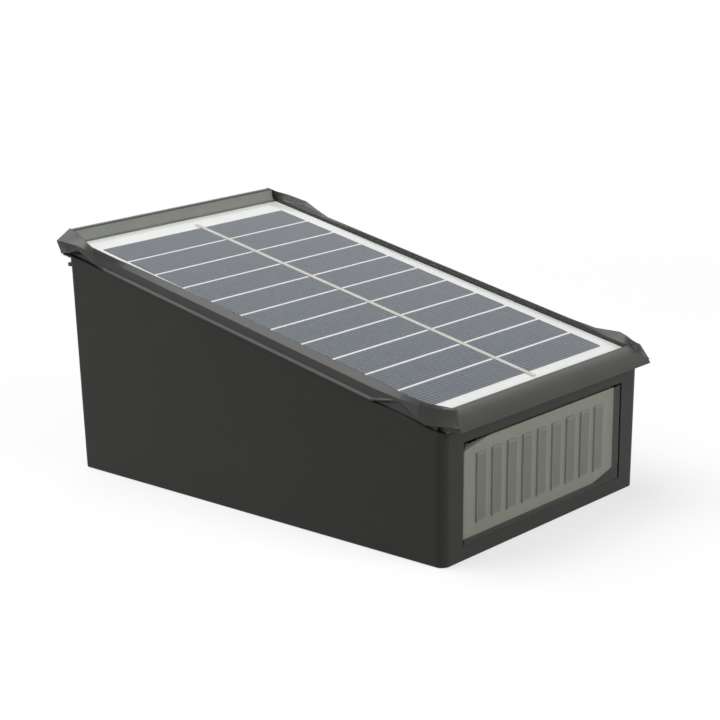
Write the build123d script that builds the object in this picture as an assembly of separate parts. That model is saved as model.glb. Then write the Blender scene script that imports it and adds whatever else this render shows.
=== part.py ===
from build123d import *
import math
import os

os.makedirs("parts", exist_ok=True)

# A wedge-shaped solar fence light. X runs across it, +Y points back to the wall and +Z up.
# It is modelled about the middle of its floor, and moved at the end so that the origin lies
# under the middle of the whole light. Millimetres and degrees.

# Housing
housing_width = 89.8          # across the floor, outside
housing_length = 144.6        # along the floor, outside
side_draft = 0.8
front_draft = 1.4
back_draft = 0.5
wall = 2.4
floor = 2.5
front_corner_radius = 2.7
back_corner_radius = 1.5
floor_edge_radius = 0.4
inner_corner_radius = 1.0

# Roof: the sloped plane where the frame meets the rim of the housing
slope = 11.65
rim_front_height = 37.87      # over the front edge of the floor

# Solar panel
panel_side_step = 1.65        # from the side of the floor in to the panel's edge
panel_end_step = 2.24         # how much shorter the panel is than the slope over the floor
panel_offset = 0.8            # middle of the panel, up the slope from the middle of the roof
board_thickness = 1.5
sheet_thickness = 0.5
tape_thickness = 0.5
tape_width = 6.0
tape_inset = 1.0              # from the edge of the panel to the tape
cell_count = 11
cell_width = 78.0
cell_length = 10.8
cell_gap = 1.2
cell_thickness = 0.2
cells_offset_x = -1.2
cells_offset = 0.05           # middle of the cells, up the slope from the middle of the roof
ribbon_width = 1.6
ribbon_thickness = 0.1
ribbon_x = 1.6
ribbon_overrun = 3.0          # past the last cell at each end
solder_radius = 0.9
solder_height = 1.0

# Top frame
panel_side_gap = 0.25
panel_front_gap = 0.1
panel_back_gap = 0.6
ledge_thickness = 1.5
ledge_width = 9.0
ring_side = 1.4               # from the pocket out to the side of the ring
ring_lap = 0.2                # from the pocket forward to the front of the ring, inside the lip
back_overhang = 2.64          # from the foot of the back wall to the back of the frame
back_skirt = 1.9              # how far the back of the frame hangs below the rim
skirt_thickness = 1.35
flange_rise = 3.44            # over the back edge of the panel's top
flange_foot_half = 42.6
flange_top_half = 43.3
flange_lean = 1.2
skirt_half_width = 44.0       # at the lower edge of the skirt
skirt_end_rise = 1.4          # the skirt's ends slant up and out into the ears
skirt_end_run = 2.6
clip_neck = 1.2
clip_hook = 1.2               # how far the hook of a clip tab reaches past its neck
clip_height = 2.45
clip_hook_height = 1.1
tongue_depth = 2.2
tongue_thickness = 1.5
tongue_clearance = 0.3
lip_side = 0.6                # from the pocket out to the toe of the lip's end
lip_end_lean = 1.1            # how far the top of the lip's end leans in from there
lip_height = 5.4              # over the rim plane
lip_flat = 0.9                # flat land in front of the panel
lip_shoulder = (4.15, 4.9)    # ahead of the pocket, over the rim plane
lip_nose = (6.65, 3.2)
lip_toe = (7.3, 2.0)
lip_heel = (2.75, 0.95)

# Side rails and their flared ears. Each station is its place along the slope, behind the
# pocket's end, then the inner foot, inner edge, land, crest, shoulder, waist, step and lower
# edge of the section. Those are written as (out from the pocket's side, over the rim plane).
rear_ear = [
    (3.95, (0, 0.1), (0, 4.6), (0, 4.8), (-0.4, 7.0), (5.2, 4.0), (4.0, 1.0), (3.4, -0.5), (3.2, -1.0)),
    (-0.25, (0, 0.1), (0, 4.6), (0, 4.8), (0.1, 6.8), (4.6, 4.6), (4.3, 2.6), (4.15, 1.6), (4.1, 1.3)),
    (-4.25, (0, 0.1), (0, 4.6), (0.2, 4.9), (1.5, 6.75), (4.1, 4.9), (3.95, 4.4), (3.85, 4.1), (3.8, 3.9)),
    (-11.25, (0, 0.1), (0, 4.6), (2.3, 5.0), (3.3, 6.2), (3.4, 4.3), (3.1, 2.4), (2.9, 1.5), (2.8, 1.2)),
    (-16.75, (0, 0.1), (0, 4.6), (1.6, 5.1), (2.1, 5.6), (2.4, 3.7), (1.9, 1.0), (2.5, 0.6), (2.5, 0.15)),
    (-23.55, (0, 0.1), (0, 4.6), (0.4, 5.0), (0.7, 5.1), (1.8, 3.5), (1.75, 0.95), (2.5, 0.6), (2.5, 0.15)),
    (-48.55, (0, 0.1), (0, 4.6), (0, 5.2), (0.2, 5.35), (1.8, 3.6), (1.75, 0.95), (2.5, 0.6), (2.5, 0.15)),
]
front_ear = [
    (22.55, (0, 0.1), (0, 4.6), (0, 5.2), (0.1, 5.45), (1.8, 3.6), (1.75, 0.95), (2.5, 0.6), (2.5, 0.15)),
    (13.35, (0, 0.1), (0, 4.6), (0.2, 5.1), (0.6, 5.6), (1.75, 4.0), (1.78, 3.85), (1.8, 3.7), (1.8, 3.6)),
    (5.85, (0, 0.1), (0, 4.6), (0.5, 5.0), (2.2, 6.7), (2.75, 5.4), (2.77, 3.1), (2.79, 2.0), (2.8, 1.6)),
    (3.25, (0, 0.1), (0, 4.6), (0.3, 4.9), (1.7, 6.7), (2.1, 5.8), (2.5, 2.8), (2.73, 1.3), (2.8, 0.8)),
    (-0.25, (0, 0.1), (0, 4.8), (0, 5.2), (-0.2, 6.85), (0.6, 6.3), (1.5, 3.4), (1.95, 2.0), (2.1, 1.5)),
    (-3.45, (-3.0, 2.0), (-3.0, 4.5), (-2.6, 5.2), (-1.5, 7.0), (-0.8, 6.9), (0.55, 4.2), (1.2, 2.9),
     (1.45, 2.4)),
    (-6.65, (-1.0, 2.0), (-1.0, 3.0), (-0.8, 3.1), (-0.2, 3.2), (0.4, 3.25), (0.6, 3.2), (0.7, 3.18),
     (0.8, 3.15)),
]

# Gasket between frame and housing
gasket_width = 1.0
gasket_depth = 0.8
gasket_clearance = 0.05

# Screws
screw_fit = 0.05
hole_clearance = 0.15
frame_screw_side = 6.5        # from the side of the floor
frame_screw_ahead = 15.2      # from the front of the floor
frame_screw_behind = 9.2      # from the back of the floor
tower_radius = 4.2
tower_drop = 7.0              # from the rim down to the top of a screw tower
tower_roof = 4.0              # what the screw head pulls on
frame_screw_shank = 1.5
frame_screw_head = 2.75
frame_screw_head_height = 2.0
frame_screw_length = 10.0
well_clearance = 0.35
small_screw_shank = 1.1
small_screw_head = 2.2
small_screw_head_height = 1.4
boss_radius = 3.0

# Keyholes in the back wall
keyhole_spacing = 50.0
keyhole_height = 46.0         # middle of the entry circle
keyhole_entry_radius = 4.25
keyhole_slot_width = 4.5
keyhole_slot_rise = 8.0       # from the entry circle up to the middle of the slot's end
keyhole_pocket_depth = 5.5
keyhole_pocket_wall = 1.8
keyhole_pocket_margin = 1.0   # between the entry circle and the pocket's walls

# Window, in the plane of the front wall
window_width = 73.5
window_bottom = 4.25
window_head = 4.27            # from the rim down to the window
lens_side_gap = 0.6           # between the pane and the opening
lens_top_gap = 0.65
lens_bottom_gap = 0.05
lens_setback = 0.1
pane_thickness = 0.9
tray_wall = 0.6               # rim of the lens, from the pane back to its flange
lens_flange_side = 2.0
lens_flange_bottom = 1.3
lens_flange_thickness = 1.6
lens_gasket_thickness = 0.8
diffuser_clearance = 0.2      # between the diffuser and the rim of the lens
diffuser_plate = 1.2
diffuser_corner_run = 11.5    # long slanted cut at its top left corner
diffuser_corner_drop = 2.2
diffuser_notch_run = 9.5      # and at its bottom right corner
diffuser_notch_rise = 2.4
rib_count = 9
rib_pitch = 6.85
rib_width = 3.9
rib_depth = 0.6
rib_end_margin = 3.6          # from the top and bottom of the plate to the ribs
rib_gap = 0.1

# Lamp unit behind the window
reflector_front_width = 64.0
reflector_front_height = 20.0
reflector_back_width = 52.0
reflector_back_height = 18.0
reflector_depth = 18.5
reflector_wall = 1.2
foot_height = 3.0
foot_thickness = 1.6
foot_width = 8.0
foot_reach = 11.0
foot_screw_x = 20.0
foot_screw_length = 4.0
led_board_width = 66.0
led_board_height = 22.0
led_board_thickness = 1.6
led_board_screw_x = 29.0
led_board_screw_length = 5.0
led_count = 6
led_pitch = 7.6
led_width = 3.5
led_height = 2.8
led_thickness = 1.9

# Control board
control_board_width = 60.0
control_board_length = 42.0
control_board_thickness = 1.6
control_board_behind = 64.2   # from the front of the floor to its middle
control_board_height = 14.0   # underside over the ground
board_screw_inset = 4.0
board_screw_length = 6.0
chip_width = 5.0
chip_length = 4.0
chip_height = 1.6
chip_x = 4.0
chip_y = -10.0
pin_count = 4                 # on each side
pin_pitch = 1.27
pin_width = 0.45
pin_reach = 1.0
coil_radius = 5.0
coil_height = 5.0
coil_winding_inset = 0.4
coil_x = -12.0
coil_y = -10.0
capacitor_radius = 3.15
capacitor_height = 8.0
capacitor_x = 17.0
capacitor_spacing = 8.0
capacitor_y = -12.0
socket_width = 7.5
socket_length = 6.0
socket_height = 6.0
socket_wall = 0.8
plug_clearance = 0.1
plug_rise = 2.0               # how far a plug stands out of its socket
panel_socket_x = -18.0
battery_socket_x = 18.0
rear_socket_y = 7.0
led_socket_y = -24.0

# Button in the floor, its seal and its switch
button_x = 0.0
button_radius = 6.0
button_clearance = 0.3
button_edge_radius = 0.6
button_recess = 1.0
button_travel = 1.5
button_flange_radius = 7.6
button_flange_thickness = 1.5
button_pad_radius = 11.0
button_pad_height = 5.0       # top of the floor pad over the ground
button_rest_gap = 0.1
seal_thickness = 1.2
seal_outer_radius = 7.4
seal_fit = 0.05
dish_radius = 9.0             # finger dish round the button, under the floor
dish_depth = 0.6
switch_size = 8.5
switch_height = 5.0
plunger_radius = 1.6
plunger_clearance = 0.08
plunger_overlap = 1.2         # how deep the plunger sits in the switch at rest
plunger_end_room = 0.5

# Battery
cell_can_radius = 9.1
cell_can_length = 63.5
cell_tip_radius = 2.7
cell_tip_height = 1.5
cell_edge_radius = 0.8
sleeve_thickness = 0.15
holder_ahead = 30.2           # from the back of the floor to the cell's axis
holder_wall = 1.6
holder_end_wall = 2.0
holder_floor = 3.0
holder_boss_height = 4.0
holder_side_height = 17.0
holder_clearance = 0.35
holder_screw_x = 22.0
holder_screw_length = 6.5
contact_thickness = 0.4
contact_width = 9.0
contact_tail = 2.0
contact_tail_width = 2.5
spring_radius = 4.0
spring_wire_radius = 0.4
spring_turns = 4
spring_length = 6.0

# Leads
wire_radius = 0.65
wire_pair_gap = 2.0
panel_lead_start = 28.0       # up the slope from the middle of the roof
lead_stub = 7.0               # straight part at each end of a lead

# Hand-picked middles of the leads' routes, from the middle of the floor
panel_lead_route = [(-15.5, 22.0, 43.0), (-16.5, 12.0, 35.5)]
led_lead_route = [(0, -38.0, 23.8), (0, -35.0, 30.2), (0, -31.5, 34.6), (0, -26.3, 35.0)]
right_battery_route = [(40.0, 28.5, 16.5), (36.5, 22.5, 20.0), (29.0, 17.0, 27.5), (21.5, 12.0, 34.0)]
left_battery_route = [(-40.0, 28.5, 16.5), (-35.5, 23.5, 19.5), (-20.0, 23.0, 22.0), (-4.0, 24.5, 24.5),
                      (8.0, 20.0, 29.5), (15.0, 12.0, 34.0)]

# Sizes that follow
rim_height = rim_front_height + housing_length / 2 * math.tan(math.radians(slope))
panel_width = housing_width - 2 * panel_side_step
panel_length = housing_length / math.cos(math.radians(slope)) - panel_end_step
panel_top = ledge_thickness + tape_thickness + board_thickness + sheet_thickness
pocket_half_width = panel_width / 2 + panel_side_gap
pocket_front = panel_offset - panel_length / 2 - panel_front_gap
pocket_back = panel_offset + panel_length / 2 + panel_back_gap
back_plane = housing_length / 2 + back_overhang
window_top = rim_front_height - window_head
frame_screw_x = housing_width / 2 - frame_screw_side
frame_screw_front = frame_screw_ahead - housing_length / 2
frame_screw_back = housing_length / 2 - frame_screw_behind
lens_half_width = window_width / 2 - lens_side_gap
lens_bottom = window_bottom + lens_bottom_gap
lens_top = window_top - lens_top_gap
diffuser_half_width = lens_half_width - tray_wall - diffuser_clearance
diffuser_bottom = lens_bottom + tray_wall + diffuser_clearance
diffuser_top = lens_top - tray_wall - diffuser_clearance
diffuser_front = lens_setback + pane_thickness + rib_gap + rib_depth
reflector_front = diffuser_front + diffuser_plate
led_board_front = reflector_front + reflector_depth
reflector_middle = (window_bottom + window_top) / 2
control_board_y = control_board_behind - housing_length / 2
control_board_top = control_board_height + control_board_thickness
button_y = control_board_y
holder_y = housing_length / 2 - holder_ahead
switch_bottom = control_board_height - switch_height
button_flange_bottom = button_pad_height + button_rest_gap
button_top = button_flange_bottom + button_flange_thickness
holder_bottom = floor + holder_boss_height
holder_half_width = cell_can_radius + sleeve_thickness + holder_clearance + holder_wall
cell_axis_height = holder_bottom + holder_floor + holder_clearance + sleeve_thickness + cell_can_radius

roof = Pos(0, 0, rim_height) * Rot(slope, 0, 0)
flange_foot = (roof * Pos(0, pocket_back, panel_top)).position
flange_top = flange_foot.Z + flange_rise
front = Pos(0, -housing_length / 2, 0) * Rot(front_draft, 0, 0)
across = Rot(0, 90, 0)


def tangent(angle):
    return math.tan(math.radians(angle))


def block(width, length, height, at=(0, 0, 0)):
    """A box that stands on a point, centred on it in X and Y."""
    return Pos(*at) * Box(width, length, height, align=(Align.CENTER, Align.CENTER, Align.MIN))


def rod(radius, height, at=(0, 0, 0)):
    """A round bar that stands on a point."""
    return Pos(*at) * Cylinder(radius, height, align=(Align.CENTER, Align.CENTER, Align.MIN))


def rim_over(y):
    """Height of the rim plane over a place along the housing."""
    return rim_height + y * tangent(slope)


def bar_across(outline, half_width):
    """A prism along X from an outline given as (y, z) points or edges in the YZ plane."""
    return extrude(outline, amount=half_width, both=True)


def drafted_block(inset, bottom, corner_front, corner_back):
    """The drafted outer form of the housing, set in on every side and cut off at the rim plane."""
    top = rim_over(housing_length) + wall
    sections = []
    for z in (bottom, top):
        half_width = housing_width / 2 + z * tangent(side_draft) - inset
        front_y = inset - housing_length / 2 - z * tangent(front_draft)
        back_y = housing_length / 2 + z * tangent(back_draft) - inset
        sections.append(Pos(0, (front_y + back_y) / 2, z) * Rectangle(2 * half_width, back_y - front_y))
    body = loft(sections)
    upright = body.edges().filter_by(lambda edge: abs(edge.tangent_at(0).Z) > 0.5)
    body = fillet(upright.filter_by(lambda edge: edge.center().Y < 0), corner_front)
    upright = body.edges().filter_by(lambda edge: abs(edge.tangent_at(0).Z) > 0.5)
    corners = upright.sort_by(Axis.Y)[-2:]
    body = fillet(corners, corner_back)
    return body - roof * block(3 * housing_width, 3 * housing_length, 2 * rim_height)


def screw(shank_radius, head_radius, head_height, length):
    """A pan-head screw with a cross recess, its head standing on the origin and its shank below."""
    head = rod(head_radius, head_height)
    rim = head.edges().filter_by(GeomType.CIRCLE).sort_by(Axis.Z)[-1]
    head = fillet(rim, head_height * 0.45)
    recess = block(head_radius * 1.2, head_radius * 0.3, head_height, (0, 0, head_height * 0.45))
    shank = rod(shank_radius, length, (0, 0, -length))
    tip = shank.edges().filter_by(GeomType.CIRCLE).sort_by(Axis.Z)[0]
    shank = chamfer(tip, shank_radius * 0.4)
    return head + shank - recess - Rot(0, 0, 90) * recess


def frame_screw_places():
    """Plan positions of the four screws that pull the frame down, as (x, y)."""
    return [(x, y) for y in (frame_screw_front, frame_screw_back) for x in (-frame_screw_x, frame_screw_x)]


def board_screw_places():
    reach_x = control_board_width / 2 - board_screw_inset
    reach_y = control_board_length / 2 - board_screw_inset
    return [(x, control_board_y + y) for y in (-reach_y, reach_y) for x in (-reach_x, reach_x)]


def foot_screw_y():
    """Place of the screws in the reflector's feet, along the housing."""
    return led_board_front - housing_length / 2 + foot_reach - foot_width / 2


def make_housing():
    """Moulded tub: floor, four drafted walls, window, screw towers, bosses and keyhole pockets."""
    shell = drafted_block(0, 0, front_corner_radius, back_corner_radius)
    shell = fillet(shell.faces().sort_by(Axis.Z)[0].edges(), floor_edge_radius)
    cavity = drafted_block(wall, floor, inner_corner_radius, inner_corner_radius)
    body = shell - cavity

    for x, y in frame_screw_places():
        body += rod(tower_radius, rim_over(y) - tower_drop, (x, y, 0))
    for x, y in board_screw_places():
        body += rod(boss_radius, control_board_height - floor, (x, y, floor))
    for x in (-foot_screw_x, foot_screw_x):
        body += rod(boss_radius, foot_height, (x, foot_screw_y(), floor))
    for x in (-holder_screw_x, holder_screw_x):
        body += rod(boss_radius, holder_boss_height, (x, holder_y, floor))
    body += rod(button_pad_radius, button_pad_height - floor, (button_x, button_y, floor))
    for x in (-keyhole_spacing / 2, keyhole_spacing / 2):
        body += keyhole_pocket(x, keyhole_pocket_wall) & shell
    body = body & shell

    for x, y in frame_screw_places():
        top = rim_over(y) - tower_drop
        body -= rod(frame_screw_head + well_clearance, top - tower_roof, (x, y, 0))
        body -= rod(frame_screw_shank + screw_fit, top, (x, y, 0))
    for x, y in board_screw_places():
        depth = board_screw_length - control_board_thickness + screw_fit
        body -= rod(small_screw_shank + screw_fit, depth, (x, y, control_board_height - depth))
    for x in (-foot_screw_x, foot_screw_x):
        depth = foot_screw_length - foot_thickness + screw_fit
        body -= rod(small_screw_shank + screw_fit, depth, (x, foot_screw_y(), floor + foot_height - depth))
    for x in (-holder_screw_x, holder_screw_x):
        depth = holder_screw_length - holder_floor + small_screw_head_height + screw_fit
        body -= rod(small_screw_shank + screw_fit, depth, (x, holder_y, holder_bottom - depth))
    for x in (-keyhole_spacing / 2, keyhole_spacing / 2):
        body -= keyhole_pocket(x, 0)
        body -= keyhole_cut(x)
    body -= rod(button_radius + button_clearance, button_pad_height, (button_x, button_y, 0))
    body -= rod(seal_outer_radius, seal_thickness, (button_x, button_y, button_pad_height - seal_thickness))
    body -= rod(dish_radius, dish_depth, (button_x, button_y, 0))
    body -= window_block(0, 2 * wall, -wall)
    body -= gasket_ring(0)
    return body


def keyhole_pocket(x, margin):
    """Box round the screw head behind a keyhole: its walls with a margin, its hollow without."""
    half_width = keyhole_entry_radius + keyhole_pocket_margin + margin
    bottom = keyhole_height - half_width
    top = keyhole_height + keyhole_slot_rise + keyhole_entry_radius + keyhole_pocket_margin + margin
    back = housing_length / 2 + keyhole_height * tangent(back_draft) - wall
    depth = keyhole_pocket_depth + margin
    reach = depth + (2 * wall if margin else 0)
    return block(2 * half_width, reach, top - bottom, (x, back - depth + reach / 2, bottom))


def keyhole_cut(x):
    """Entry circle and slot of one keyhole, through the back wall."""
    length = keyhole_pocket_depth / 2 + 3 * wall
    back = housing_length / 2 - wall - keyhole_pocket_depth / 2
    into_wall = Pos(x, back, keyhole_height) * Rot(-90, 0, 0)
    slot_end = Pos(x, back, keyhole_height + keyhole_slot_rise) * Rot(-90, 0, 0)
    slot = block(keyhole_slot_width, length, keyhole_slot_rise, (x, back + length / 2, keyhole_height))
    return into_wall * rod(keyhole_entry_radius, length) + slot_end * rod(keyhole_slot_width / 2, length) + slot


def window_block(margin, depth, start, bottom_margin=None):
    """A block in the plane of the front wall, as large as the window and a margin round it."""
    below = margin if bottom_margin is None else bottom_margin
    height = window_top - window_bottom + margin + below
    return front * block(window_width + 2 * margin, depth, height,
                         (0, start + depth / 2, window_bottom - below))


def gasket_ring(clearance):
    """Ring in the middle of the rim, down from the rim plane."""
    outer_inset = (wall - gasket_width) / 2 + clearance
    inner_inset = (wall + gasket_width) / 2 - clearance
    low = rim_over(-housing_length) - wall
    outer = drafted_block(outer_inset, low, front_corner_radius - outer_inset, inner_corner_radius)
    inner = drafted_block(inner_inset, low, front_corner_radius - inner_inset, inner_corner_radius)
    below_rim = roof * block(3 * housing_width, 3 * housing_length, gasket_depth, (0, 0, -gasket_depth))
    return (outer - inner) & below_rim


def make_frame_gasket():
    """Rubber cord seal that fills the groove in the rim."""
    return gasket_ring(gasket_clearance)


def make_rail():
    """Right side rail, ruled from section to section."""
    faces = []
    for end, stations in ((pocket_back, rear_ear), (pocket_front, front_ear)):
        for along, *section in stations:
            corners = [(pocket_half_width + out, end + along, height) for out, height in section]
            faces.append(make_face(Polyline(*corners, close=True)))
    return roof * loft(faces, ruled=True)


def make_lip():
    """Rounded front lip of the frame, with its short skirt in front of the housing."""
    base = (pocket_front, 0)
    top = (pocket_front, lip_height)
    crest = (pocket_front - lip_flat, lip_height)
    shoulder, nose, toe, heel = [(pocket_front - ahead, height)
                                 for ahead, height in (lip_shoulder, lip_nose, lip_toe, lip_heel)]
    foot = (heel[0], 0)
    base, top, crest, shoulder, nose, toe, heel, foot = [
        (0, y, z) for y, z in (base, top, crest, shoulder, nose, toe, heel, foot)]
    outline = [
        Line(base, top),
        Line(top, crest),
        ThreePointArc(crest, shoulder, nose),
        Line(nose, toe),
        Line(toe, heel),
        Line(heel, foot),
        Line(foot, base),
    ]
    half_width = pocket_half_width + lip_side
    lip = bar_across(make_face(Wire(outline)), half_width)
    leaning = Polyline((-half_width, 0, -lip_height), (-half_width, 0, lip_toe[1]),
                       (lip_end_lean - half_width, 0, lip_height), (half_width - lip_end_lean, 0, lip_height),
                       (half_width, 0, lip_toe[1]), (half_width, 0, -lip_height), close=True)
    return roof * (lip & extrude(make_face(leaning), amount=housing_length, both=True))


def make_flange():
    """Upstanding back edge of the frame: a leaning face that narrows to its foot, on the back wall."""
    foot_y = flange_foot.Y
    foot_z = flange_foot.Z
    lean_y = foot_y + flange_lean
    round_start = flange_top - 0.4
    outline = Polyline((0, foot_y, rim_over(foot_y) + 0.5), (0, foot_y, foot_z), (0, lean_y, round_start),
                       (0, lean_y + 0.5, flange_top), (0, back_plane, flange_top),
                       (0, back_plane, rim_over(foot_y) + 0.5), close=True)
    face = bar_across(make_face(outline), flange_top_half)
    taper = Polyline((-flange_foot_half, 0, 0), (-flange_foot_half, 0, foot_z), (-flange_top_half, 0, round_start),
                     (-flange_top_half, 0, 2 * flange_top), (flange_top_half, 0, 2 * flange_top),
                     (flange_top_half, 0, round_start), (flange_foot_half, 0, foot_z),
                     (flange_foot_half, 0, 0), close=True)
    return face & extrude(make_face(taper), amount=2 * housing_length, both=True)


def make_skirt():
    """Skirt of the frame behind the back wall, with two hooked clip tabs under it."""
    low = rim_over(back_plane) - back_skirt
    end_x = skirt_half_width + skirt_end_run
    end_z = low + skirt_end_rise
    outline = Polyline((-skirt_half_width, 0, low), (skirt_half_width, 0, low), (end_x, 0, end_z),
                       (skirt_half_width, 0, flange_foot.Z), (-skirt_half_width, 0, flange_foot.Z),
                       (-end_x, 0, end_z), close=True)
    middle = back_plane - skirt_thickness / 2
    skirt = Pos(0, middle, 0) * extrude(make_face(outline), amount=skirt_thickness / 2, both=True)
    for side in (-1, 1):
        neck_x = side * (pocket_half_width - clip_neck / 2)
        hook_x = side * (pocket_half_width + (clip_hook - clip_neck) / 2)
        skirt += block(clip_neck, skirt_thickness, clip_height, (neck_x, middle, low - clip_height))
        skirt += block(clip_neck + clip_hook, skirt_thickness, clip_hook_height,
                       (hook_x, middle, low - clip_height))
    return skirt


def make_top_frame():
    """Moulded frame that carries the panel: ring, ledge, rails with ears, lip, flange and bosses."""
    ring_back = pocket_back + wall
    ring_front = pocket_front - ring_lap
    ring = roof * block(2 * (pocket_half_width + ring_side), ring_back - ring_front, panel_top,
                        (0, (ring_back + ring_front) / 2, 0))
    rail = make_rail()
    body = ring + rail + mirror(rail, about=Plane.YZ) + make_lip() + make_flange() + make_skirt()

    pocket_length = pocket_back - pocket_front
    middle = (pocket_back + pocket_front) / 2
    body -= roof * block(2 * pocket_half_width, pocket_length, panel_top, (0, middle, ledge_thickness))
    through = roof * block(2 * (pocket_half_width - ledge_width), pocket_length - 2 * ledge_width,
                           4 * panel_top, (0, middle, -2 * panel_top))
    body -= through

    tongue = drafted_block(wall + tongue_clearance, floor, inner_corner_radius, inner_corner_radius)
    inner = wall + tongue_clearance + tongue_thickness
    tongue -= drafted_block(inner, floor, inner_corner_radius, inner_corner_radius)
    tongue = tongue & roof * block(3 * housing_width, 3 * housing_length, tongue_depth, (0, 0, -tongue_depth))
    body += tongue

    under_ledge = roof * block(3 * housing_width, 3 * housing_length, 3 * rim_height,
                               (0, 0, ledge_thickness - 3 * rim_height))
    for x, y in frame_screw_places():
        foot = rim_over(y) - tower_drop
        body += rod(tower_radius - 0.5, 3 * tower_drop, (x, y, foot)) & under_ledge
    for x, y in frame_screw_places():
        foot = rim_over(y) - tower_drop
        depth = frame_screw_length - tower_roof + screw_fit
        body -= rod(frame_screw_shank + screw_fit, depth, (x, y, foot))

    behind = block(3 * housing_width, housing_length, 4 * rim_height, (0, back_plane + housing_length / 2, 0))
    return body - behind


def make_panel_tape():
    """Foam tape ring that bonds the panel to the ledge."""
    width = panel_width - 2 * tape_inset
    length = panel_length - 2 * tape_inset
    ring = block(width, length, tape_thickness, (0, panel_offset, ledge_thickness))
    hole = block(width - 2 * tape_width, length - 2 * tape_width, tape_thickness,
                 (0, panel_offset, ledge_thickness))
    return roof * (ring - hole)


def make_panel_board():
    """White-faced base board of the panel."""
    bottom = ledge_thickness + tape_thickness
    return roof * block(panel_width, panel_length, board_thickness, (0, panel_offset, bottom))


def cell_places():
    pitch = cell_length + cell_gap
    first = cells_offset - pitch * (cell_count - 1) / 2
    return [first + pitch * index for index in range(cell_count)]


def make_solar_cells():
    """Cut silicon cells, laid side by side down the slope."""
    bottom = panel_top - sheet_thickness
    cells = [roof * block(cell_width, cell_length, cell_thickness, (cells_offset_x, along, bottom))
             for along in cell_places()]
    return Compound(cells)


def ribbon_solid():
    length = cell_places()[-1] - cell_places()[0] + cell_length + 2 * ribbon_overrun
    bottom = panel_top - sheet_thickness + cell_thickness
    return roof * block(ribbon_width, length, ribbon_thickness, (ribbon_x, cells_offset, bottom))


def make_cell_ribbon():
    """Tinned ribbon that joins the cells."""
    return ribbon_solid()


def make_panel_sheet():
    """Clear laminate over the cells, moulded round them."""
    sheet = roof * block(panel_width, panel_length, sheet_thickness,
                         (0, panel_offset, panel_top - sheet_thickness))
    for cell in make_solar_cells().solids():
        sheet -= cell
    return sheet - ribbon_solid()


def panel_wire_start(side):
    """Solder point of one panel lead, on the underside of the panel board."""
    return roof * Pos(panel_socket_x + side * wire_pair_gap, panel_lead_start, ledge_thickness + tape_thickness)


def make_panel_solder():
    """Solder domes where the leads leave the panel."""
    domes = []
    for side in (-0.5, 0.5):
        dome = panel_wire_start(side) * rod(solder_radius, solder_height, (0, 0, -solder_height))
        domes.append(dome)
    return Compound(domes)


def lens_block(margin, start, end):
    """A block behind the pane, as large as the pane and a margin round it."""
    return front * block(2 * (lens_half_width + margin), end - start, lens_top - lens_bottom + 2 * margin,
                         (0, (start + end) / 2, lens_bottom - margin))


def make_window_lens():
    """Clear moulded window: a pane in the opening, a rim behind it and a flange behind the wall."""
    flange_start = wall + lens_gasket_thickness
    flange_end = flange_start + lens_flange_thickness
    flange = window_block(lens_flange_side, lens_flange_thickness, flange_start, lens_flange_bottom)
    return lens_block(0, lens_setback, flange_end) + flange - lens_block(
        -tray_wall, lens_setback + pane_thickness, flange_end)


def make_lens_gasket():
    """Rubber seal pressed between the lens flange and the wall."""
    ring = window_block(lens_flange_side, lens_gasket_thickness, wall, lens_flange_bottom)
    return ring - window_block(0, lens_gasket_thickness, wall)


def make_ribbed_diffuser():
    """Pale translucent plate with upright ribs on its front and two slanted corners."""
    left, right = -diffuser_half_width, diffuser_half_width
    outline = Polyline((left, 0, diffuser_bottom), (right - diffuser_notch_run, 0, diffuser_bottom),
                       (right, 0, diffuser_bottom + diffuser_notch_rise), (right, 0, diffuser_top),
                       (left + diffuser_corner_run, 0, diffuser_top),
                       (left, 0, diffuser_top - diffuser_corner_drop), close=True)
    middle = diffuser_front + diffuser_plate / 2
    plate = Pos(0, middle, 0) * extrude(make_face(outline), amount=diffuser_plate / 2, both=True)
    rib_bottom = diffuser_bottom + rib_end_margin
    rib_top = diffuser_top - rib_end_margin
    for index in range(rib_count):
        x = rib_pitch * (index - (rib_count - 1) / 2)
        rib = block(rib_width, rib_depth, rib_top - rib_bottom, (x, diffuser_front - rib_depth / 2, rib_bottom))
        plate += rib
    return front * plate


def funnel(margin):
    """Tapered block from the back of the diffuser to the LED board."""
    sections = []
    for depth, width, height in ((reflector_front, reflector_front_width, reflector_front_height),
                                 (led_board_front, reflector_back_width, reflector_back_height)):
        section = Rectangle(width + 2 * margin, height + 2 * margin)
        sections.append(Pos(0, depth, reflector_middle) * Rot(90, 0, 0) * section)
    return loft(sections)


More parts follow.
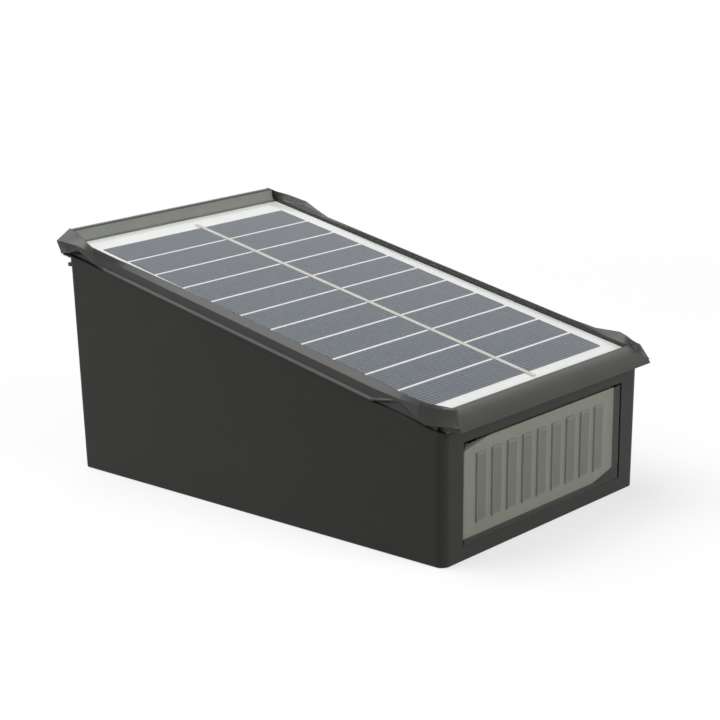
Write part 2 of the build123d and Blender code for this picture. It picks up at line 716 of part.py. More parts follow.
def make_reflector():
    """White moulded funnel between diffuser and LED board, on two screwed feet."""
    body = funnel(0)
    post_depth = led_board_screw_length
    for x in (-led_board_screw_x, led_board_screw_x):
        body += block(2 * boss_radius, post_depth, 2 * boss_radius,
                      (x, led_board_front - post_depth / 2, reflector_middle - boss_radius))
    pilot_depth = led_board_screw_length - led_board_thickness + screw_fit
    for x in (-led_board_screw_x, led_board_screw_x):
        pilot = Pos(x, led_board_front - pilot_depth, reflector_middle) * Rot(-90, 0, 0)
        body -= pilot * rod(small_screw_shank + screw_fit, pilot_depth)
    body = front * body

    back_y = led_board_front - housing_length / 2
    foot_bottom = floor + foot_height
    foot_start = back_y - 2 * foot_thickness
    foot_length = 2 * foot_thickness + foot_reach
    riser_top = (front * Pos(0, led_board_front, reflector_middle - reflector_back_height / 2)).position.Z
    for x in (-foot_screw_x, foot_screw_x):
        foot = block(foot_width, foot_length, foot_thickness, (x, foot_start + foot_length / 2, foot_bottom))
        foot -= rod(small_screw_shank + hole_clearance, foot_thickness, (x, foot_screw_y(), foot_bottom))
        riser = block(foot_width, foot_thickness, riser_top + reflector_wall / 2 - foot_bottom,
                      (x, foot_start + foot_thickness / 2, foot_bottom))
        body += foot + riser
    return body - front * funnel(-reflector_wall)


def make_led_board():
    """Board that closes the back of the reflector and carries the LEDs."""
    board = block(led_board_width, led_board_thickness, led_board_height,
                  (0, led_board_front + led_board_thickness / 2, reflector_middle - led_board_height / 2))
    for x in (-led_board_screw_x, led_board_screw_x):
        hole = Pos(x, led_board_front, reflector_middle) * Rot(-90, 0, 0)
        board -= hole * rod(small_screw_shank + hole_clearance, led_board_thickness)
    return front * board


def make_leds():
    """Row of surface-mount LEDs that face the window."""
    leds = []
    for index in range(led_count):
        x = led_pitch * (index - (led_count - 1) / 2)
        leds.append(front * block(led_width, led_thickness, led_height,
                                  (x, led_board_front - led_thickness / 2, reflector_middle - led_height / 2)))
    return Compound(leds)


def make_control_board():
    """Charge and switching board on four bosses over the floor."""
    board = block(control_board_width, control_board_length, control_board_thickness,
                  (0, control_board_y, control_board_height))
    for x, y in board_screw_places():
        board -= rod(small_screw_shank + hole_clearance, control_board_thickness, (x, y, control_board_height))
    return board


def make_charge_chip():
    """Controller chip with its two rows of pins."""
    chip = block(chip_width, chip_length, chip_height, (chip_x, chip_y, control_board_top))
    for index in range(pin_count):
        x = chip_x + pin_pitch * (index - (pin_count - 1) / 2)
        chip += block(pin_width, chip_length + 2 * pin_reach, pin_width / 2, (x, chip_y, control_board_top))
    return chip


def coil_core():
    flange = coil_height / 5
    core = rod(coil_radius, flange, (coil_x, coil_y, control_board_top))
    core += rod(coil_radius / 2, coil_height, (coil_x, coil_y, control_board_top))
    return core + rod(coil_radius, flange, (coil_x, coil_y, control_board_top + coil_height - flange))


def make_coil_core():
    """Ferrite drum of the boost coil."""
    return coil_core()


def make_coil_winding():
    """Enamelled copper winding on the drum."""
    flange = coil_height / 5
    bottom = control_board_top + flange
    height = coil_height - 2 * flange
    outer = rod(coil_radius - coil_winding_inset, height, (coil_x, coil_y, bottom))
    return outer - rod(coil_radius / 2, height, (coil_x, coil_y, bottom))


def make_capacitors():
    """Two round electrolytic capacitors."""
    cans = []
    for side in (-0.5, 0.5):
        place = (capacitor_x + side * capacitor_spacing, capacitor_y, control_board_top)
        can = rod(capacitor_radius, capacitor_height, place)
        top_edge = can.edges().filter_by(GeomType.CIRCLE).sort_by(Axis.Z)[-1]
        cans.append(fillet(top_edge, capacitor_radius / 6))
    return Compound(cans)


def socket_places():
    return [(panel_socket_x, rear_socket_y), (battery_socket_x, rear_socket_y), (0, led_socket_y)]


def make_wire_sockets():
    """Three open-topped sockets on the control board."""
    sockets = []
    for x, y in socket_places():
        shell = block(socket_width, socket_length, socket_height, (x, y, control_board_top))
        well = block(socket_width - 2 * socket_wall, socket_length - 2 * socket_wall, socket_height,
                     (x, y, control_board_top + socket_wall))
        sockets.append(shell - well)
    return Compound(sockets)


def make_wire_plugs():
    """Three plugs, each on the end of a pair of leads."""
    plugs = []
    for x, y in socket_places():
        width = socket_width - 2 * socket_wall - 2 * plug_clearance
        length = socket_length - 2 * socket_wall - 2 * plug_clearance
        height = socket_height - socket_wall + plug_rise
        plugs.append(block(width, length, height, (x, y, control_board_top + socket_wall)))
    return Compound(plugs)


def make_switch_body():
    """Push switch under the control board, with a bore for its plunger."""
    body = block(switch_size, switch_size, switch_height, (button_x, button_y, switch_bottom))
    bore = plunger_overlap + button_travel + plunger_end_room
    return body - rod(plunger_radius + plunger_clearance, bore, (button_x, button_y, switch_bottom))


def make_switch_plunger():
    """Sprung plunger that stands on the button."""
    length = switch_bottom + plunger_overlap - button_top
    return rod(plunger_radius, length, (button_x, button_y, button_top))


def make_power_button():
    """Round button: a face in the floor and a flange that keeps it inside."""
    head = rod(button_radius, button_flange_bottom - button_recess, (button_x, button_y, button_recess))
    face_edge = head.edges().filter_by(GeomType.CIRCLE).sort_by(Axis.Z)[0]
    head = fillet(face_edge, button_edge_radius)
    return head + rod(button_flange_radius, button_flange_thickness, (button_x, button_y, button_flange_bottom))


def make_button_seal():
    """Rubber ring in the floor pad, round the button."""
    bottom = button_pad_height - seal_thickness
    ring = rod(seal_outer_radius, seal_thickness, (button_x, button_y, bottom))
    return ring - rod(button_radius + seal_fit, seal_thickness, (button_x, button_y, bottom))


def holder_inner_length():
    return 2 * contact_thickness + spring_length + cell_can_length + cell_tip_height


def can_start():
    """Place of the flat end of the cell along X."""
    return -holder_inner_length() / 2 + contact_thickness + spring_length


def lying_rod(radius, length, start):
    """A round bar along X on the axis of the cell."""
    return Pos(start, holder_y, cell_axis_height) * across * rod(radius, length)


def make_battery_cell():
    """Round lithium cell with its raised positive tip."""
    can = lying_rod(cell_can_radius, cell_can_length, can_start())
    can = fillet(can.edges().filter_by(GeomType.CIRCLE), cell_edge_radius)
    return can + lying_rod(cell_tip_radius, cell_tip_height, can_start() + cell_can_length)


def make_battery_sleeve():
    """Shrink sleeve round the cell."""
    length = cell_can_length - 2 * cell_edge_radius
    start = can_start() + cell_edge_radius
    return lying_rod(cell_can_radius + sleeve_thickness, length, start) - lying_rod(cell_can_radius, length, start)


def make_battery_holder():
    """Open cradle for the cell, on two bosses."""
    outer_length = holder_inner_length() + 2 * holder_end_wall
    body = block(outer_length, 2 * holder_half_width, holder_side_height, (0, holder_y, holder_bottom))
    trough_radius = holder_half_width - holder_wall
    body -= lying_rod(trough_radius, holder_inner_length(), -holder_inner_length() / 2)
    body -= block(holder_inner_length(), 2 * trough_radius, holder_side_height,
                  (0, holder_y, cell_axis_height))
    for x in (-holder_screw_x, holder_screw_x):
        head_seat = holder_bottom + holder_floor - small_screw_head_height
        body -= rod(small_screw_shank + hole_clearance, holder_floor, (x, holder_y, holder_bottom))
        body -= rod(small_screw_head + hole_clearance, 2 * small_screw_head_height, (x, holder_y, head_seat))
    slot_width = contact_tail_width + 2 * plug_clearance
    slot_height = contact_thickness + 2 * plug_clearance
    body -= block(2 * outer_length, slot_width, slot_height, (0, holder_y, contact_tail_bottom() - plug_clearance))
    return body


def contact_tail_bottom():
    return cell_axis_height - contact_width / 2


def make_battery_contacts():
    """Two plated tabs: a plate inside each end of the cradle and a tail outside it."""
    contacts = []
    for side in (-1, 1):
        plate_x = side * (holder_inner_length() - contact_thickness) / 2
        plate = block(contact_thickness, contact_width, contact_width,
                      (plate_x, holder_y, contact_tail_bottom()))
        tail_length = contact_thickness + holder_end_wall + contact_tail
        tail_x = side * (holder_inner_length() / 2 - contact_thickness + tail_length / 2)
        tail = block(tail_length, contact_tail_width, contact_thickness, (tail_x, holder_y, contact_tail_bottom()))
        contacts.append(plate + tail)
    return Compound(contacts)


def make_battery_spring():
    """Coil spring that presses the cell onto the far contact."""
    pitch = (spring_length - 2 * spring_wire_radius) / spring_turns
    start = can_start() - spring_length + spring_wire_radius
    path = Pos(start, holder_y, cell_axis_height) * across * Helix(pitch, spring_turns * pitch, spring_radius)
    section = Plane(origin=path @ 0, z_dir=path % 0) * Circle(spring_wire_radius)
    return sweep(section, path=path)


def plug_top():
    return control_board_top + socket_height + plug_rise


def lead(start, leaving, route, end):
    """One insulated lead: straight runs joined by arcs as large as the runs allow."""
    first = Vector(*start)
    last = Vector(*end)
    corners = [first, first + Vector(*leaving).normalized() * lead_stub]
    corners += [Vector(*point) for point in route]
    corners += [last + Vector(0, 0, lead_stub), last]
    runs = [after - before for before, after in zip(corners, corners[1:])]
    radii = []
    for before, after in zip(runs, runs[1:]):
        half_turn = math.radians(before.get_angle(after)) / 2
        radii.append(0.45 * min(before.length, after.length) / math.tan(half_turn))
    path = FilletPolyline(*corners, radius=radii)
    section = Plane(origin=first, z_dir=runs[0]) * Circle(wire_radius)
    tube = sweep(section, path=path)
    volume_ratio = tube.volume / (math.pi * wire_radius ** 2 * path.length)
    print("lead", round(path.length, 1), "mm, radii", [round(radius, 1) for radius in radii],
          "volume ratio", round(volume_ratio, 4))
    return tube


def beside(points, offset):
    """A route moved along X."""
    return [(x + offset, y, z) for x, y, z in points]


def make_panel_leads():
    """Pair of leads from the panel down to the control board."""
    leads = []
    for side in (-0.5, 0.5):
        offset = side * wire_pair_gap
        start = (panel_wire_start(side) * Pos(0, 0, -solder_height)).position
        down = (roof * Pos(0, 0, -1)).position - roof.position
        end = (panel_socket_x + offset, rear_socket_y, plug_top())
        leads.append(lead(start, down, beside(panel_lead_route, offset), end))
    return Compound(leads)


def make_led_leads():
    """Pair of leads from the LED board back to the control board."""
    leads = []
    for side in (-0.5, 0.5):
        offset = side * wire_pair_gap
        start = (front * Pos(offset, led_board_front + led_board_thickness, reflector_middle)).position
        back = (front * Pos(0, 1, 0)).position - front.position
        leads.append(lead(start, back, beside(led_lead_route, offset), (offset, led_socket_y, plug_top())))
    return Compound(leads)


def make_battery_leads():
    """Pair of leads from the ends of the cradle to the control board."""
    tail_x = holder_inner_length() / 2 + holder_end_wall + contact_tail - wire_radius
    tail_y = holder_y - contact_tail_width / 2
    tail_z = contact_tail_bottom() + contact_thickness / 2
    leads = []
    for side, route in ((-1, left_battery_route), (1, right_battery_route)):
        end = (battery_socket_x + side * wire_pair_gap / 2, rear_socket_y, plug_top())
        leads.append(lead((side * tail_x, tail_y, tail_z), (0, -1, 0), route, end))
    return Compound(leads)


def make_frame_screws():
    """Four screws from below that pull the frame onto the rim."""
    upside_down = Rot(180, 0, 0)
    return Compound([
        Pos(x, y, rim_over(y) - tower_drop - tower_roof) * upside_down
        * screw(frame_screw_shank, frame_screw_head, frame_screw_head_height, frame_screw_length)
        for x, y in frame_screw_places()])


def small_screw(length):
    return screw(small_screw_shank, small_screw_head, small_screw_head_height, length)


def make_board_screws():
    """Four screws that hold the control board."""
    return Compound([Pos(x, y, control_board_top) * small_screw(board_screw_length)
                     for x, y in board_screw_places()])


def make_foot_screws():
    """Two screws that hold the feet of the reflector."""
    seat = floor + foot_height + foot_thickness
    return Compound([Pos(x, foot_screw_y(), seat) * small_screw(foot_screw_length)
                     for x in (-foot_screw_x, foot_screw_x)])


def make_led_board_screws():
    """Two screws that hold the LED board on the reflector."""
    back = led_board_front + led_board_thickness
    return Compound([front * Pos(x, back, reflector_middle) * Rot(-90, 0, 0) * small_screw(led_board_screw_length)
                     for x in (-led_board_screw_x, led_board_screw_x)])


def make_holder_screws():
    """Two screws that hold the battery cradle, sunk under the cell."""
    seat = holder_bottom + holder_floor - small_screw_head_height
    return Compound([Pos(x, holder_y, seat) * small_screw(holder_screw_length)
                     for x in (-holder_screw_x, holder_screw_x)])


makers = {
    "housing": make_housing,
    "top_frame": make_top_frame,
    "frame_gasket": make_frame_gasket,
    "panel_tape": make_panel_tape,
    "panel_board": make_panel_board,
    "solar_cells": make_solar_cells,
    "cell_ribbon": make_cell_ribbon,
    "panel_sheet": make_panel_sheet,
    "panel_solder": make_panel_solder,
    "window_lens": make_window_lens,
    "lens_gasket": make_lens_gasket,
    "ribbed_diffuser": make_ribbed_diffuser,
    "reflector": make_reflector,
    "led_board": make_led_board,
    "leds": make_leds,
    "control_board": make_control_board,
    "charge_chip": make_charge_chip,
    "coil_core": make_coil_core,
    "coil_winding": make_coil_winding,
    "capacitors": make_capacitors,
    "wire_sockets": make_wire_sockets,
    "wire_plugs": make_wire_plugs,
    "switch_body": make_switch_body,
    "switch_plunger": make_switch_plunger,
    "power_button": make_power_button,
    "button_seal": make_button_seal,
    "battery_cell": make_battery_cell,
    "battery_sleeve": make_battery_sleeve,
    "battery_holder": make_battery_holder,
    "battery_contacts": make_battery_contacts,
    "battery_spring": make_battery_spring,
    "panel_leads": make_panel_leads,
    "led_leads": make_led_leads,
    "battery_leads": make_battery_leads,
    "frame_screws": make_frame_screws,
    "board_screws": make_board_screws,
    "foot_screws": make_foot_screws,
    "led_board_screws": make_led_board_screws,
    "holder_screws": make_holder_screws,
}

pieces = {name: make() for name, make in makers.items()}

# The origin goes under the middle of the frame, which reaches furthest at both ends.
reach = pieces["top_frame"].bounding_box()
to_origin = Pos(0, -(reach.min.Y + reach.max.Y) / 2, 0)

for name, piece in pieces.items():
    export_step(to_origin * piece, f"parts/{name}.step")

print("moved along Y by", round(to_origin.position.Y, 4))
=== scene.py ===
import math

import bpy
from mathutils import Matrix, Vector


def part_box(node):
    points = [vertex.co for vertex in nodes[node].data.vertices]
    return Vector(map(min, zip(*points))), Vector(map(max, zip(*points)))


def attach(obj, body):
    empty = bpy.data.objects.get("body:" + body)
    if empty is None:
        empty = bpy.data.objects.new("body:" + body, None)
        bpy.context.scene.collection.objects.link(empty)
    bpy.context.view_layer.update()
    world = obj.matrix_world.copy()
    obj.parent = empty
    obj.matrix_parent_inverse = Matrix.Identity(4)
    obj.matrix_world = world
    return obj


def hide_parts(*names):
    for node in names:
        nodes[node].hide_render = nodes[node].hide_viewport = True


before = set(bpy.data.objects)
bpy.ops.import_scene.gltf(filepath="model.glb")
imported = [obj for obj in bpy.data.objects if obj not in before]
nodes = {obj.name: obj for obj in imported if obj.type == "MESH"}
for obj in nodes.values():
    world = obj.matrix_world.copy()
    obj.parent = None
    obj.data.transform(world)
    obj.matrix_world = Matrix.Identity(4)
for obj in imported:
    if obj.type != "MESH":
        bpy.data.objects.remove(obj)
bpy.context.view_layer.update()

# --- Camera -------------------------------------------------------------------------------
# A long lens looks down a little on the front left corner. Its place is measured in metres
# from the middle of the light's underside, and its angles are those of the photograph.

camera_place = Vector((-0.41993, -0.37894, 0.18818))
camera_heading = math.radians(48.121)  # from +Y towards +X
camera_pitch = math.radians(14.991)    # below the horizon
camera_roll = math.radians(-1.313)
lens_mm = 97.336
sensor_mm = 36.0

look = Vector((math.sin(camera_heading) * math.cos(camera_pitch),
               math.cos(camera_heading) * math.cos(camera_pitch),
               -math.sin(camera_pitch)))
level = look.cross(Vector((0, 0, 1))).normalized()
upright = level.cross(look)
right = level * math.cos(camera_roll) + upright * math.sin(camera_roll)
up = right.cross(look)

camera_data = bpy.data.cameras.new("camera")
camera_data.lens = lens_mm
camera_data.sensor_width = sensor_mm
camera_data.clip_start = 0.01
camera = bpy.data.objects.new("camera", camera_data)
bpy.context.scene.collection.objects.link(camera)
turn = Matrix((right, up, -look)).transposed()
camera.matrix_world = Matrix.Translation(camera_place) @ turn.to_4x4()
bpy.context.scene.camera = camera
bpy.context.scene.view_settings.view_transform = "Standard"

# --- Studio -------------------------------------------------------------------------------
# A white paper sweep under a broad soft light from above and behind, as for a product shot.
# The walls round it are dim, so the upright sides of the light stay dark.


def srgb(code):
    """A colour written as sRGB hex, as the linear values that shaders use."""
    channels = [int(code[i:i + 2], 16) / 255 for i in (1, 3, 5)]
    linear = [c / 12.92 if c <= 0.04045 else ((c + 0.055) / 1.055) ** 2.4 for c in channels]
    return (*linear, 1.0)


def add_node(tree, kind, inputs=(), **settings):
    """Adds a shader node. Each input is given a link or a value, by its number or name."""
    node = tree.nodes.new(kind)
    for name, value in settings.items():
        if hasattr(node, name):
            setattr(node, name, value)
        else:
            node.inputs[name.replace("_", " ")].default_value = value
    for socket, source in inputs:
        if isinstance(source, bpy.types.NodeSocket):
            tree.links.new(source, node.inputs[socket])
        else:
            node.inputs[socket].default_value = source
    return node


def seen_directly(tree):
    """1 for rays from the camera, from gloss and through clear pieces, and 0 for the rest."""
    ray = add_node(tree, "ShaderNodeLightPath")
    seen = ray.outputs["Is Camera Ray"]
    for other in ("Is Glossy Ray", "Is Transmission Ray"):
        seen = add_node(tree, "ShaderNodeMath", [(0, seen), (1, ray.outputs[other])],
                        operation="MAXIMUM").outputs[0]
    return seen


wall_strength = 0.28  # of the light that the walls throw on the object

studio = bpy.data.worlds.new("studio")
studio.use_nodes = True
bpy.context.scene.world = studio
tree = studio.node_tree
tree.nodes.clear()
dim_walls = add_node(tree, "ShaderNodeBackground", Color=srgb("#ffffff"), Strength=wall_strength)
white_walls = add_node(tree, "ShaderNodeBackground", Color=srgb("#ffffff"), Strength=1.0)
walls = add_node(tree, "ShaderNodeMixShader", [(0, seen_directly(tree)), (1, dim_walls.outputs[0]),
                                               (2, white_walls.outputs[0])])
add_node(tree, "ShaderNodeOutputWorld", [("Surface", walls.outputs[0])])

# The paper glows a little under the light and turns to plain white round it, so that it
# shows a soft shadow and no horizon. Seen from below it is left out, to show the underside.
near_reach = 0.08    # from the middle of the light
far_reach = 0.5
near_glow = 0.65     # share of plain white
floor_half = 12.0
floor_drop = 0.00005

paper = bpy.data.materials.new("paper_sweep")
paper.use_nodes = True
tree = paper.node_tree
tree.nodes.clear()
lit_paper = add_node(tree, "ShaderNodeBsdfDiffuse", Color=srgb("#ffffff"))
grey_paper = add_node(tree, "ShaderNodeBsdfDiffuse", Color=srgb("#5a5a5a"))
glow = add_node(tree, "ShaderNodeEmission", Color=srgb("#ffffff"), Strength=1.0)
place = add_node(tree, "ShaderNodeTexCoord")
reach = add_node(tree, "ShaderNodeVectorMath", [(0, place.outputs["Object"])], operation="LENGTH")
glowing = add_node(tree, "ShaderNodeMapRange", [("Value", reach.outputs["Value"])],
                   interpolation_type="SMOOTHSTEP", From_Min=near_reach, From_Max=far_reach,
                   To_Min=near_glow, To_Max=1.0)
white_paper = add_node(tree, "ShaderNodeMixShader", [(0, glowing.outputs["Result"]),
                                                     (1, lit_paper.outputs[0]), (2, glow.outputs[0])])
sheet = add_node(tree, "ShaderNodeMixShader", [(0, seen_directly(tree)), (1, grey_paper.outputs[0]),
                                               (2, white_paper.outputs[0])])
surface = add_node(tree, "ShaderNodeNewGeometry")
nothing = add_node(tree, "ShaderNodeBsdfTransparent", Color=srgb("#ffffff"))
one_sided = add_node(tree, "ShaderNodeMixShader", [(0, surface.outputs["Backfacing"]),
                                                   (1, sheet.outputs[0]), (2, nothing.outputs[0])])
add_node(tree, "ShaderNodeOutputMaterial", [("Surface", one_sided.outputs[0])])

floor_corners = [(side_x * floor_half, side_y * floor_half, -floor_drop)
                 for side_x, side_y in ((-1, -1), (1, -1), (1, 1), (-1, 1))]
floor_mesh = bpy.data.meshes.new("floor")
floor_mesh.from_pydata(floor_corners, [], [(0, 1, 2, 3)])
floor_mesh.materials.append(paper)
floor = bpy.data.objects.new("floor", floor_mesh)
bpy.context.scene.collection.objects.link(floor)

lamp_target = Vector((0, 0, 0.04))


def softbox(name, place, size, watts):
    """A square area lamp that faces the middle of the light."""
    lamp = bpy.data.lights.new(name, "AREA")
    lamp.shape = "SQUARE"
    lamp.size = size
    lamp.energy = watts
    lamp_object = bpy.data.objects.new(name, lamp)
    aim = (lamp_target - Vector(place)).to_track_quat("-Z", "Y").to_matrix().to_4x4()
    lamp_object.matrix_world = Matrix.Translation(place) @ aim
    bpy.context.scene.collection.objects.link(lamp_object)


softbox("top_softbox", place=(-0.3, 0.4, 1.0), size=1.0, watts=11.0)
softbox("front_softbox", place=(0.2, -1.3, 0.6), size=0.6, watts=8.0)

# --- Housing ------------------------------------------------------------------------------
# One moulded tub of dark grey ABS with spark-eroded walls. The fine texture scatters light,
# so it looks matt and even.


def new_material(name, **settings):
    """A material with one Principled shader. Gives back the material and that shader."""
    material = bpy.data.materials.new(name)
    material.use_nodes = True
    shader = material.node_tree.nodes["Principled BSDF"]
    for key, value in settings.items():
        shader.inputs[key.replace("_", " ")].default_value = value
    return material, shader


def dress(material, *names):
    """Gives carried-over pieces one material."""
    for name in names:
        mesh = nodes[name].data
        mesh.materials.clear()
        mesh.materials.append(material)


def per_mm(millimetres):
    """Scale of a texture whose features are that far apart."""
    return 1000.0 / millimetres


def mottle(material, shader, dark, pale, patch_mm, grain_mm, grain_depth_mm, rounding_mm=0.0):
    """Patches between two close colours, and a fine moulded grain in the surface.

    Gives back the place on the piece and the patches' colour, for what is added to them.
    """
    tree = material.node_tree
    where = add_node(tree, "ShaderNodeTexCoord").outputs["Object"]
    patches = add_node(tree, "ShaderNodeTexNoise", [("Vector", where)], Scale=per_mm(patch_mm),
                       Detail=4.0, Roughness=0.6)
    colours = add_node(tree, "ShaderNodeValToRGB", [("Fac", patches.outputs["Fac"])])
    for stop, position, colour in zip(colours.color_ramp.elements, (0.3, 0.7), (dark, pale)):
        stop.position = position
        stop.color = srgb(colour)
    tree.links.new(colours.outputs["Color"], shader.inputs["Base Color"])
    grain = add_node(tree, "ShaderNodeTexNoise", [("Vector", where)], Scale=per_mm(grain_mm),
                     Detail=2.0, Roughness=0.5)
    bump = add_node(tree, "ShaderNodeBump", [("Height", grain.outputs["Fac"])], Strength=1.0,
                    Distance=grain_depth_mm / 1000)
    if rounding_mm:
        rounded = add_node(tree, "ShaderNodeBevel", samples=6, Radius=rounding_mm / 1000)
        tree.links.new(rounded.outputs["Normal"], bump.inputs["Normal"])
    tree.links.new(bump.outputs["Normal"], shader.inputs["Normal"])
    return where, colours.outputs["Color"]


# Real spark grain is about 0.1 mm, too fine to show here, so it is drawn at 0.7 mm.
textured_abs, shader = new_material("spark_textured_abs", Roughness=0.5, Specular_IOR_Level=0.25)
mottle(textured_abs, shader, "#2a2a28", "#2f2f2c", patch_mm=18, grain_mm=0.7, grain_depth_mm=0.02,
       rounding_mm=0.3)
dress(textured_abs, "housing")

# --- Button, seal and switch --------------------------------------------------------------
# A round push button of black plastic in the floor, in a soft silicone ring, under a small
# moulded push switch whose nylon plunger stands on it.

# Moulded in a polished tool, so its edges catch a small sharp light.
smooth_black, shader = new_material("smooth_black_plastic", Roughness=0.35, IOR=1.5)
mottle(smooth_black, shader, "#161616", "#1b1b1b", patch_mm=4, grain_mm=0.5, grain_depth_mm=0.004,
       rounding_mm=0.2)
dress(smooth_black, "power_button")

# Pressed silicone rubber is dull and a little uneven.
silicone, shader = new_material("black_silicone_rubber", Roughness=0.7, IOR=1.41,
                                Specular_IOR_Level=0.4)
mottle(silicone, shader, "#141414", "#1d1c1b", patch_mm=3, grain_mm=0.4, grain_depth_mm=0.01)
dress(silicone, "button_seal")

# Filled epoxy from a transfer mould, near black and half matt.
switch_epoxy, shader = new_material("moulded_switch_case", Roughness=0.5)
mottle(switch_epoxy, shader, "#1c1c1d", "#232324", patch_mm=2, grain_mm=0.3, grain_depth_mm=0.006)
dress(switch_epoxy, "switch_body")

# Undyed nylon is milky, and light goes a little way into it.
nylon, shader = new_material("natural_nylon", Roughness=0.45, IOR=1.53, Subsurface_Weight=0.1)
mottle(nylon, shader, "#d9d5c6", "#e4e1d4", patch_mm=3, grain_mm=0.4, grain_depth_mm=0.004)
dress(nylon, "switch_plunger")

# --- Boards and their parts ---------------------------------------------------------------
# Two glass-epoxy boards under green lacquer. The control board carries a chip, a ferrite
# drum wound with enamelled copper, two aluminium capacitors and three wire sockets.

# Sprayed lacquer, half glossy over the glass cloth.
board_green, shader = new_material("green_board_lacquer", Roughness=0.35, Coat_Weight=0.2)
mottle(board_green, shader, "#0f4a26", "#176033", patch_mm=6, grain_mm=0.8, grain_depth_mm=0.008)
dress(board_green, "control_board", "led_board")

# The chip has the switch's moulded epoxy, and the wire sockets the plunger's nylon.
dress(switch_epoxy, "charge_chip")
dress(nylon, "wire_sockets", "wire_plugs")

# Pressed and fired powder, a dull dark grey.
ferrite, shader = new_material("fired_ferrite", Roughness=0.6)
mottle(ferrite, shader, "#2b2b2c", "#39393a", patch_mm=2, grain_mm=0.3, grain_depth_mm=0.01)
dress(ferrite, "coil_core")

# Drawn copper under clear enamel, warm and bright.
enamelled_copper, shader = new_material("enamelled_copper_wire", Roughness=0.3, Metallic=1.0)
mottle(enamelled_copper, shader, "#a04a1c", "#c2683a", patch_mm=3, grain_mm=0.4, grain_depth_mm=0.02)
dress(enamelled_copper, "coil_winding")

# Deep-drawn sheet with a soft sheen.
drawn_aluminium, shader = new_material("drawn_aluminium_can", Roughness=0.32, Metallic=1.0)
mottle(drawn_aluminium, shader, "#a9abad", "#bcbdbf", patch_mm=4, grain_mm=0.4, grain_depth_mm=0.004)
dress(drawn_aluminium, "capacitors")

# Silicone filled with phosphor, yellow while it is unlit.
led_phosphor, shader = new_material("led_phosphor", Roughness=0.4, Subsurface_Weight=0.1)
mottle(led_phosphor, shader, "#e6c552", "#efd470", patch_mm=1.5, grain_mm=0.3, grain_depth_mm=0.006)
dress(led_phosphor, "leds")

# --- Battery and its cradle ---------------------------------------------------------------
# A round lithium cell of nickel-plated steel in a blue shrink sleeve. It lies in an open
# cradle of black ABS between a coil spring and two plated contacts.

# Bright plating, a little soft from the drawn steel under it.
plated_steel, shader = new_material("nickel_plated_steel", Roughness=0.28, Metallic=1.0)
mottle(plated_steel, shader, "#a8a6a0", "#bab8b2", patch_mm=5, grain_mm=0.5, grain_depth_mm=0.004)
dress(plated_steel, "battery_cell", "battery_contacts", "battery_spring")

# Thin shrunk film, glossy and slightly wavy.
shrink_sleeve, shader = new_material("blue_shrink_sleeve", Roughness=0.25, IOR=1.53)
mottle(shrink_sleeve, shader, "#1c4f8c", "#235c9c", patch_mm=8, grain_mm=1.2, grain_depth_mm=0.01)
dress(shrink_sleeve, "battery_sleeve")

# Moulded in a plain tool, half matt.
cradle_abs, shader = new_material("black_moulded_abs", Roughness=0.5)
mottle(cradle_abs, shader, "#191919", "#202020", patch_mm=8, grain_mm=0.6, grain_depth_mm=0.01)
dress(cradle_abs, "battery_holder")

# --- Lamp unit ----------------------------------------------------------------------------
# A white moulded funnel of glossy ABS, on two screwed feet. It spreads the light of the LEDs
# over the back of the diffuser.

reflector_abs, shader = new_material("white_gloss_abs", Roughness=0.3, IOR=1.52)
mottle(reflector_abs, shader, "#e0e0da", "#e8e8e3", patch_mm=12, grain_mm=0.8, grain_depth_mm=0.004)
dress(reflector_abs, "reflector")

# --- Diffuser -----------------------------------------------------------------------------
# A thin moulded plate of smoke-grey opal acrylic behind the pane. Its ribs are thicker and
# let less light through, so they are painted darker than the plate between them: painted shade.

rib_pitch = 0.00685
rib_width = 0.0039
rib_count = 9
rib_end_margin = 0.0036
rib_end_fade = 0.001
rib_fade_inside = 0.0004   # the darker tone starts inside the rib's edge
rib_fade_outside = 0.0002  # and ends a little past it
rib_painted_shade = 0.62            # painted shade: brightness of a rib against the plate's

opal, shader = new_material("smoke_opal_acrylic", Roughness=0.35, IOR=1.49)
where, plate_colour = mottle(opal, shader, "#aaaba2", "#b3b4ab", patch_mm=15, grain_mm=0.9,
                             grain_depth_mm=0.01)
tree = opal.node_tree
plate_low, plate_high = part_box("ribbed_diffuser")
ribs_bottom = plate_low[2] + rib_end_margin
ribs_top = plate_high[2] - rib_end_margin
parts = add_node(tree, "ShaderNodeSeparateXYZ", [(0, where)])
off_rib = add_node(tree, "ShaderNodeMath", [(0, parts.outputs["X"]), (1, rib_pitch / 2)],
                   operation="PINGPONG")
in_rib = add_node(tree, "ShaderNodeMapRange", [("Value", off_rib.outputs[0])],
                  interpolation_type="SMOOTHSTEP", From_Min=rib_width / 2 - rib_fade_inside,
                  From_Max=rib_width / 2 + rib_fade_outside, To_Min=1.0, To_Max=0.0)
off_middle = add_node(tree, "ShaderNodeMath", [(0, parts.outputs["X"])], operation="ABSOLUTE")
in_row = add_node(tree, "ShaderNodeMath", [(0, off_middle.outputs[0]), (1, rib_pitch * rib_count / 2)],
                  operation="LESS_THAN")
above = add_node(tree, "ShaderNodeMapRange", [("Value", parts.outputs["Z"])], From_Min=ribs_bottom,
                 From_Max=ribs_bottom + rib_end_fade)
below = add_node(tree, "ShaderNodeMapRange", [("Value", parts.outputs["Z"])], From_Min=ribs_top,
                 From_Max=ribs_top - rib_end_fade)
shaded_rib = in_rib
for mask in (in_row, above, below):
    shaded_rib = add_node(tree, "ShaderNodeMath", [(0, shaded_rib.outputs[0]), (1, mask.outputs[0])],
                     operation="MULTIPLY")
# Painted shade: the ribs' colour is darkened against the plate's, where the mask says rib.
tone = add_node(tree, "ShaderNodeMapRange", [("Value", shaded_rib.outputs[0])], To_Min=1.0,
                To_Max=rib_painted_shade)
rib_shaded_colour = add_node(tree, "ShaderNodeVectorMath", [(0, plate_colour), (1, tone.outputs["Result"])],
                    operation="MULTIPLY")
tree.links.new(rib_shaded_colour.outputs[0], shader.inputs["Base Color"])
